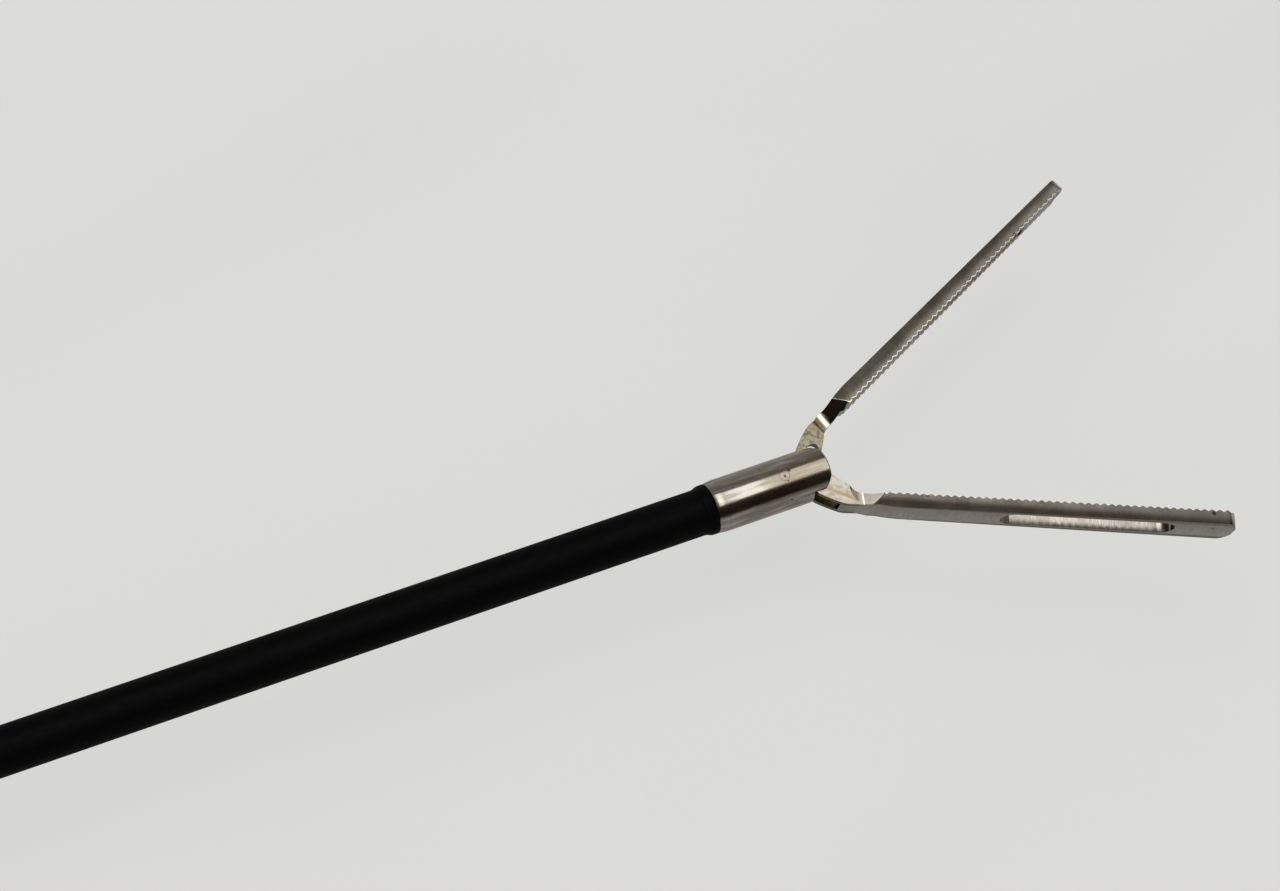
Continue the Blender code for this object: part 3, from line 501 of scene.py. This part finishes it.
def jaw_steel(jaw):
    """Ground steel with fine streaks across the jaw and a bloom on the shank; painted reflection
    darker by the back, painted shade and a painted highlight.
    """
    steel = bpy.context.scene.grasper_steel
    recipe = Recipe(jaw.side.capitalize() + " jaw steel")
    bare = tuple(steel.colour)
    along = recipe.moved(tuple(PIVOT), jaw.opening)
    distance = recipe.part_of(along, "X")
    depth = recipe.maths("ABSOLUTE", recipe.part_of(along, "Y"))
    width = recipe.maths("ABSOLUTE", recipe.part_of(along, "Z"))
    outside = recipe.between(width, 1.3 * MM, 1.5 * MM)
    scooped = recipe.attribute("scooped")
    streaks = recipe.noise(recipe.moved(scale=(0.06, 1, 1), place=along), 900, 2)
    lines = recipe.noise(recipe.moved(scale=(9, 1, 1), place=along), 2600, 3)
    cloud = recipe.noise(along, 420, 4)
    speck = recipe.noise(along, 2400, 2)

    # The toothed body, with painted reflection lighter by its teeth and darker by its back, and
    # painted shade on the near side
    body = recipe.mix(recipe.between(streaks, 0.35, 0.65), tinted(bare, 0.72, 0.08), bare)
    body = recipe.mix(recipe.between(cloud, 0.45, 0.7, 0, 0.45), body, tinted(bare, 0.66, 0.1))
    reflection_by_teeth = recipe.times(recipe.between(depth, 1.2 * MM, 0.4 * MM), outside)
    body = recipe.mix(reflection_by_teeth, body, tinted(bare, 1.5 if jaw.upper else 1.3))
    by_back = recipe.between(depth, (0.45 if jaw.upper else 0.8) * MM, 1.45 * MM, 0,
                             0.72 if jaw.upper else 0.95)
    by_back = recipe.times(by_back, outside)
    by_back = recipe.times(by_back, recipe.between(distance, 20 * MM, 42 * MM, 1, 0.85))
    body = recipe.mix(by_back, body, tinted(bare, 0.26, 0.25))
    # Painted shade, darker towards the near side inside the outer sides
    near_side_shade = recipe.between(recipe.part_of(along, "Z"), -1.2 * MM, 1.7 * MM, 0, 0.45)
    near_side_shade = recipe.times(near_side_shade, recipe.between(outside, 1, 0))
    body = recipe.mix(near_side_shade, body, tinted(bare, 0.4, 0.15))

    # The bloom on the shank, and a painted highlight where the scoop begins
    bloom = recipe.mix(recipe.between(lines, 0.4, 0.6), tinted(bare, 0.8), tuple(steel.stain))
    bloom = recipe.mix(recipe.between(cloud, 0.4, 0.6), tinted(bare, 0.68, 0.1), bloom)
    bloom = recipe.mix(recipe.between(speck, 0.45, 0.65, 0, 0.8), bloom, (0.12, 0.105, 0.075))
    if jaw.upper:
        bloom = recipe.mix(recipe.between(cloud, 0.46, 0.56, 0, 0.8), bloom, (0.3, 0.235, 0.11))
        bloom = recipe.mix(1.0, bloom, (0.66, 0.64, 0.58), "MULTIPLY")
        painted_highlight = recipe.band(distance, 7.75 * MM, 8.1 * MM, 0.15 * MM)
    else:
        slant = recipe.maths("ADD", recipe.part_of(along, "Y"), recipe.times(distance, 0.33))
        gold = recipe.band(slant, 0.98 * MM, 1.12 * MM, 0.22 * MM)
        bloom = recipe.mix(0.45, bloom, tinted(bare, 0.85, 0.1))
        bloom = recipe.mix(recipe.times(gold, 0.75), bloom, tuple(steel.stain))
        painted_highlight = recipe.band(distance, 7.98 * MM, 8.06 * MM, 0.08 * MM)
    painted_highlight = recipe.times(painted_highlight, recipe.between(scooped, 0, LEAST_SCOOPED))
    # Painted shade on the shank's narrow walls
    wall = recipe.band(width, jaw.walls[0] * MM, jaw.walls[1] * MM, 0.02 * MM)
    bloom = recipe.mix(recipe.times(wall, 0.8), bloom, tinted(bare, 0.2, 0.3))

    # The scoops between the two in painted shade, and the stains over all
    hollow = recipe.mix(recipe.between(cloud, 0.35, 0.65),
                        tinted(bare, 0.62, 0.3 if jaw.upper else 0.06),
                        tinted(bare, 0.35, 0.2) if jaw.upper else tinted(bare, 0.46, 0.02))
    body = recipe.mix(scooped, body, hollow)
    colour = recipe.mix(recipe.between(distance, 7.8 * MM, 7.4 * MM), body, bloom)
    colour = recipe.mix(painted_highlight, colour, tinted(bare, 1.5, 0.1))
    for centre, radius in jaw.marks:
        stain = recipe.spot([value * MM for value in centre], radius * MM, place=along)
        colour = recipe.mix(recipe.times(stain, 0.85), colour, DARK)
    rough = recipe.between(cloud, 0.3, 0.7, steel.roughness * 0.8, steel.roughness * 1.25)
    recipe.bump(streaks, 0.1, 0.02 * MM)
    return recipe.metal(colour, rough)


def turned_steel(name, colour, roughness, marks=(), rings=()):
    """Polished round steel: lengthwise streaks, brown clouds, dark specks and fine rings."""
    recipe = Recipe(name)
    streaks = recipe.noise(recipe.moved(scale=(9, 1, 1)), 1900, 3)
    cloud = recipe.noise(recipe.moved(scale=(2.4, 1, 1)), 420, 4)
    shade = recipe.mix(recipe.between(streaks, 0.4, 0.6), tinted(colour, 0.62, 0.1), colour)
    shade = recipe.mix(recipe.between(cloud, 0.45, 0.68, 0, 0.7), shade,
                       tinted(colour, 0.5, 0.3))
    distance = recipe.part_of(recipe.place, "X")
    for place, width, dark in rings:
        line = recipe.band(distance, place - width / 2, place + width / 2, width / 2)
        shade = recipe.mix(recipe.times(line, dark), shade, tinted(colour, 0.3, 0.2))
    for centre, radius, dark in marks:
        shade = recipe.mix(recipe.spot(centre, radius), shade, dark)
    rough = recipe.between(streaks, 0.3, 0.7, roughness * 1.2, roughness * 0.85)
    recipe.bump(recipe.mix(0.5, streaks, cloud), 0.2, 0.02 * MM)
    return recipe.metal(shade, rough)


def black_sleeve():
    recipe = Recipe("Black insulation")
    grain = recipe.noise(recipe.moved(scale=(3, 1, 1)), 2500, 3)
    colour = tuple(bpy.context.scene.grasper_plastic.sleeve)
    shade = recipe.mix(grain, tuple(0.7 * v for v in colour), tuple(1.4 * v for v in colour))
    recipe.bump(grain, 0.1, 0.02 * MM)
    return recipe.plastic(shade, recipe.between(grain, 0.3, 0.7, 0.5, 0.62), 0.05)


def moulded_black(name, colour, roughness=0.42):
    recipe = Recipe(name)
    grain = recipe.noise(recipe.place, 3200, 2)
    cloud = recipe.noise(recipe.place, 60, 3)
    shade = recipe.mix(cloud, tuple(0.85 * v for v in colour), tuple(1.2 * v for v in colour))
    recipe.bump(grain, 0.22, 0.05 * MM)
    return recipe.plastic(shade, recipe.between(cloud, 0.3, 0.7, roughness * 0.9,
                                                roughness * 1.15))


def rubber_black():
    recipe = Recipe("Black rubber")
    grain = recipe.noise(recipe.place, 2600, 3)
    shade = recipe.mix(grain, (0.014, 0.014, 0.014), (0.024, 0.023, 0.022))
    return recipe.plastic(shade, recipe.between(grain, 0.3, 0.7, 0.7, 0.85))


# Pieces

class GRASPER_OT_jaws(Operator):
    """Dress both jaws in ground steel with broken rims, lips and back corners"""
    bl_idname = "grasper.jaws"
    bl_label = "Jaws"

    def execute(self, context):
        for jaw in JAWS:
            node, body = "jaw_" + jaw.side, jaw.side + "_jaw"
            piece = merged_copy(node, body + "_steel")
            tooth_rim, scoop_lip, back_corner = edge_tests(jaw)
            bevel_where(piece, tooth_rim, 0.05 * MM, 1, clamp=False)
            bevel_where(piece, scoop_lip, 0.06 * MM, 1, clamp=False)
            bevel_where(piece, back_corner, 0.1 * MM, 3)
            look = jaw_steel(jaw)
            ease_scoop(smooth(piece), jaw)
            lean_flats(piece, jaw, radians(7.5))
            finish_piece(piece, body, look, node)
        return {"FINISHED"}


class GRASPER_OT_clevis(Operator):
    """Dress the clevis, its pins and the rod in polished steel"""
    bl_idname = "grasper.clevis"
    bl_label = "Clevis and pins"

    def execute(self, context):
        colour = tuple(context.scene.grasper_steel.colour)
        dark = tinted(colour, 0.12, 0.2)
        marks = [(PIVOT + Vector(place) * MM, radius * MM, dark)
                 for place, radius in CLEVIS_MARKS]
        rings = ((PIVOT.x - 6.35 * MM, 0.05 * MM, 0.4),)
        steel = turned_steel("Clevis steel", colour, 0.16, marks, rings)
        pin_steel = turned_steel("Pin steel", colour, 0.16, marks)
        rod_steel = turned_steel("Rod steel", tinted(colour, 0.5, 0.1), 0.3)
        clevis = soft_edges(merged_copy("clevis", "clevis_steel"), 0.04 * MM)
        true_round(smooth(clevis))
        finish_piece(clevis, "shaft", steel, "clevis")
        pin = smooth(merged_copy("jaw_pivot_pin", "jaw_pivot_pin_steel"))
        true_round(pin, 0.1 * MM)
        finish_piece(pin, "shaft", pin_steel, "jaw_pivot_pin")
        for node in ("drive_pin", "rod_fork", "pull_rod", "rod_ball"):
            finish_piece(smooth(merged_copy(node, node + "_steel")), "rod", rod_steel, node)
        return {"FINISHED"}


class GRASPER_OT_shaft(Operator):
    """Dress the sleeve, tube and hub"""
    bl_idname = "grasper.shaft"
    bl_label = "Shaft"

    def execute(self, context):
        steel = turned_steel("Tube steel", tuple(context.scene.grasper_steel.colour), 0.26)
        sleeve = smooth(merged_copy("insulation_sleeve", "black_sleeve"), 40)
        finish_piece(sleeve, "shaft", black_sleeve(), "insulation_sleeve")
        for node in ("inner_tube", "knob_hub", "retaining_ring"):
            finish_piece(smooth(merged_copy(node, node + "_steel")), "shaft", steel, node)
        seal = smooth(merged_copy("rod_seal", "seal_ring"), 60)
        finish_piece(seal, "shaft", rubber_black(), "rod_seal")
        return {"FINISHED"}


class GRASPER_OT_knob(Operator):
    """Dress the rotation knob and its set screw"""
    bl_idname = "grasper.knob"
    bl_label = "Rotation knob"

    def execute(self, context):
        colour = (0.02, 0.02, 0.022)
        knob = soft_edges(merged_copy("rotation_knob", "knob_moulding"), 0.3 * MM, 3, 30)
        finish_piece(smooth(knob), "shaft", moulded_black("Knob plastic", colour, 0.38),
                     "rotation_knob")
        screw = smooth(merged_copy("knob_set_screw", "set_screw_steel"))
        finish_piece(screw, "shaft", turned_steel("Screw steel", (0.42, 0.41, 0.4), 0.3),
                     "knob_set_screw")
        return {"FINISHED"}


class GRASPER_OT_handle(Operator):
    """Dress the handle, the lever and what is fixed to them"""
    bl_idname = "grasper.handle"
    bl_label = "Handle and lever"

    def execute(self, context):
        colour = tuple(context.scene.grasper_plastic.handle)
        black = moulded_black("Handle plastic", colour)
        body = smooth(merged_copy("handle_body", "handle_moulding"), 38)
        finish_piece(body, "handle", black, "handle_body")
        lever = merged_copy("thumb_lever", "lever_moulding")
        clear_slot(lever)
        finish_piece(smooth(lever, 38), "lever", black, "thumb_lever")
        collar = smooth(merged_copy("post_collar", "collar_moulding"))
        finish_piece(collar, "handle", black, "post_collar")
        steel = turned_steel("Screw and washer steel", (0.44, 0.43, 0.41), 0.28)
        for node in ("lever_pivot_screw", "lever_pivot_nut", "washer_left", "washer_right"):
            finish_piece(smooth(merged_copy(node, node + "_steel")), "handle", steel, node)
        brass = turned_steel("Plated brass", (0.62, 0.5, 0.28), 0.25)
        for node in ("front_bearing", "hf_post"):
            finish_piece(smooth(merged_copy(node, node + "_brass")), "handle", brass, node)
        return {"FINISHED"}


# Stage

def camera_matrix():
    """The photograph's viewpoint: behind the shaft, high up, and rolled."""
    place = PIVOT + Vector((-91.38, -69.76, 242.87)) * MM
    turn, height, roll = radians(44.15), radians(65.27), radians(24.72)
    view = Vector((cos(turn) * cos(height), sin(turn) * cos(height), -sin(height)))
    level = Vector((sin(turn), -cos(turn), 0))
    rise = level.cross(view)
    right = cos(roll) * level + sin(roll) * rise
    up = cos(roll) * rise - sin(roll) * level
    matrix = Matrix((right, up, -view)).transposed().to_4x4()
    matrix.translation = place
    return matrix


def floor_material(colour):
    """A pale floor that the camera sees evenly lit, and that still takes a soft shadow."""
    recipe = Recipe("Pale floor")
    # Faint darker diagonal bands across the floor
    faint_bands = recipe.noise(recipe.moved(turn=radians(14), scale=(4, 1, 1)), 22, 2)
    shade = recipe.mix(recipe.between(faint_bands, 0.45, 0.75, 0, 0.5), colour, tinted(colour, 0.965))
    recipe.plastic(shade, 0.9, 0.1)
    rays = recipe.nodes.new("ShaderNodeLightPath")
    glow = recipe.nodes.new("ShaderNodeEmission")
    recipe.wire(shade, glow.inputs["Color"])
    recipe.wire(recipe.between(rays.outputs["Is Camera Ray"], 0, 1, 0.5, 1),
                glow.inputs["Strength"])
    mixer = recipe.nodes.new("ShaderNodeMixShader")
    seen = recipe.maths("MAXIMUM", rays.outputs["Is Camera Ray"], rays.outputs["Is Glossy Ray"])
    recipe.wire(recipe.times(seen, 0.85), mixer.inputs["Fac"])
    recipe.wire(recipe.shader.outputs["BSDF"], mixer.inputs[1])
    recipe.wire(glow.outputs["Emission"], mixer.inputs[2])
    recipe.wire(mixer.outputs["Shader"], recipe.nodes["Material Output"].inputs["Surface"])
    return recipe.material


def studio_world(softbox):
    """A dim warm studio with one long softbox overhead, and a pale wall at the camera's level."""
    world = bpy.data.worlds.new("Studio")
    world.use_nodes = True
    patch = Patch(world.node_tree, "Generated")
    x, y, z = (patch.part_of(patch.place, axis) for axis in "XYZ")
    lean = patch.maths("ARCTAN2", y, z)
    ahead = patch.maths("ARCSINE", x)
    # The ramp runs about the shaft's axis, from the -Y side over the top to the +Y side
    room = patch.ramp(patch.between_straight(lean, radians(-100), radians(100)), (
        (0.05, (0.38, 0.37, 0.35)), (0.12, (0.3, 0.29, 0.27)), (0.16, (0.022, 0.018, 0.012)),
        (0.36, (0.034, 0.027, 0.017)), (0.45, (0.2, 0.19, 0.17)), (0.55, (0.2, 0.19, 0.175)),
        (0.68, (0.18, 0.17, 0.15)), (0.95, (0.46, 0.45, 0.42))))
    room = patch.mix(patch.between(ahead, radians(-12), radians(-26)), room, (0.03, 0.025, 0.02))
    room = patch.mix(patch.between(z, 0.14, 0.02), room, (0.42, 0.41, 0.39))
    across = patch.band(lean, radians(-17), radians(31), radians(2.5))
    length = patch.band(ahead, radians(-5), radians(29), radians(3))
    lit = patch.times(across, length)
    core = patch.between(ahead, radians(18), radians(4), 1, 1.7)
    bright = patch.mix(1.0, (softbox, 0.99 * softbox, 0.96 * softbox), core, "MULTIPLY")
    sky = patch.mix(lit, room, bright)
    rays = patch.nodes.new("ShaderNodeLightPath")
    sky = patch.mix(rays.outputs["Is Camera Ray"], sky, (0.72, 0.72, 0.7))
    patch.wire(sky, patch.nodes["Background"].inputs["Color"])
    return world


def lamp(name, direction, strength, spread):
    """A far soft lamp that fills the plain level and stays out of reflections."""
    data = bpy.data.lights.new(name, "SUN")
    data.energy = strength
    data.angle = radians(spread)
    obj = bpy.data.objects.new(name, data)
    bpy.context.scene.collection.objects.link(obj)
    obj.location = PIVOT + Vector(direction)
    obj.rotation_mode = "QUATERNION"
    obj.rotation_quaternion = (-Vector(direction)).to_track_quat("-Z", "Y")
    obj.visible_glossy = False


class GRASPER_OT_stage(Operator):
    """Lay the floor, hang the lamps, light the sky and set up the camera"""
    bl_idname = "grasper.stage"
    bl_label = "Stage"

    def execute(self, context):
        scene = context.scene
        settings = scene.grasper_stage
        deselect_all()
        bpy.ops.mesh.primitive_plane_add(size=FLOOR_SIDE, location=(0, 0, 0))
        ground = context.object
        ground.name = "floor"
        ground.data.materials.append(floor_material(tuple(settings.ground)))
        deselect_all()
        scene.world = studio_world(settings.softbox)
        lamp("Key lamp", (-0.2, 0.5, 1), 1.1, 50)
        lamp("Fill lamp", (0.4, -0.7, 0.6), 0.7, 70)

        lens = bpy.data.cameras.new("Camera")
        lens.lens = settings.lens
        lens.clip_start = 0.01
        camera = bpy.data.objects.new("Camera", lens)
        scene.collection.objects.link(camera)
        camera.matrix_world = camera_matrix()
        scene.camera = camera
        scene.view_settings.view_transform = "Standard"
        return {"FINISHED"}


class GRASPER_PT_panel(Panel):
    """Lists the pieces and their finishes"""
    bl_idname = "GRASPER_PT_panel"
    bl_label = "Bowel grasper"
    bl_space_type = "VIEW_3D"
    bl_region_type = "UI"
    bl_category = "Grasper"

    def draw(self, context):
        layout = self.layout
        for group in (context.scene.grasper_steel, context.scene.grasper_plastic,
                      context.scene.grasper_stage):
            box = layout.box()
            for key in group.__annotations__:
                box.prop(group, key)
        for operator in OPERATORS:
            layout.operator(operator.bl_idname)


GROUPS = {"grasper_steel": SteelFinish, "grasper_plastic": PlasticFinish,
          "grasper_stage": StageSettings}
OPERATORS = (GRASPER_OT_jaws, GRASPER_OT_clevis, GRASPER_OT_shaft, GRASPER_OT_knob,
             GRASPER_OT_handle, GRASPER_OT_stage)


def register():
    for name, group in GROUPS.items():
        bpy.utils.register_class(group)
        setattr(bpy.types.Scene, name, PointerProperty(type=group))
    for operator in OPERATORS:
        bpy.utils.register_class(operator)
    bpy.utils.register_class(GRASPER_PT_panel)


def unregister():
    bpy.utils.unregister_class(GRASPER_PT_panel)
    for operator in reversed(OPERATORS):
        bpy.utils.unregister_class(operator)
    for name, group in GROUPS.items():
        delattr(bpy.types.Scene, name)
        bpy.utils.unregister_class(group)


def main():
    register()
    bpy.ops.grasper.jaws()
    bpy.ops.grasper.clevis()
    bpy.ops.grasper.shaft()
    bpy.ops.grasper.knob()
    bpy.ops.grasper.handle()
    bpy.ops.grasper.stage()


if __name__ == "__main__":
    main()
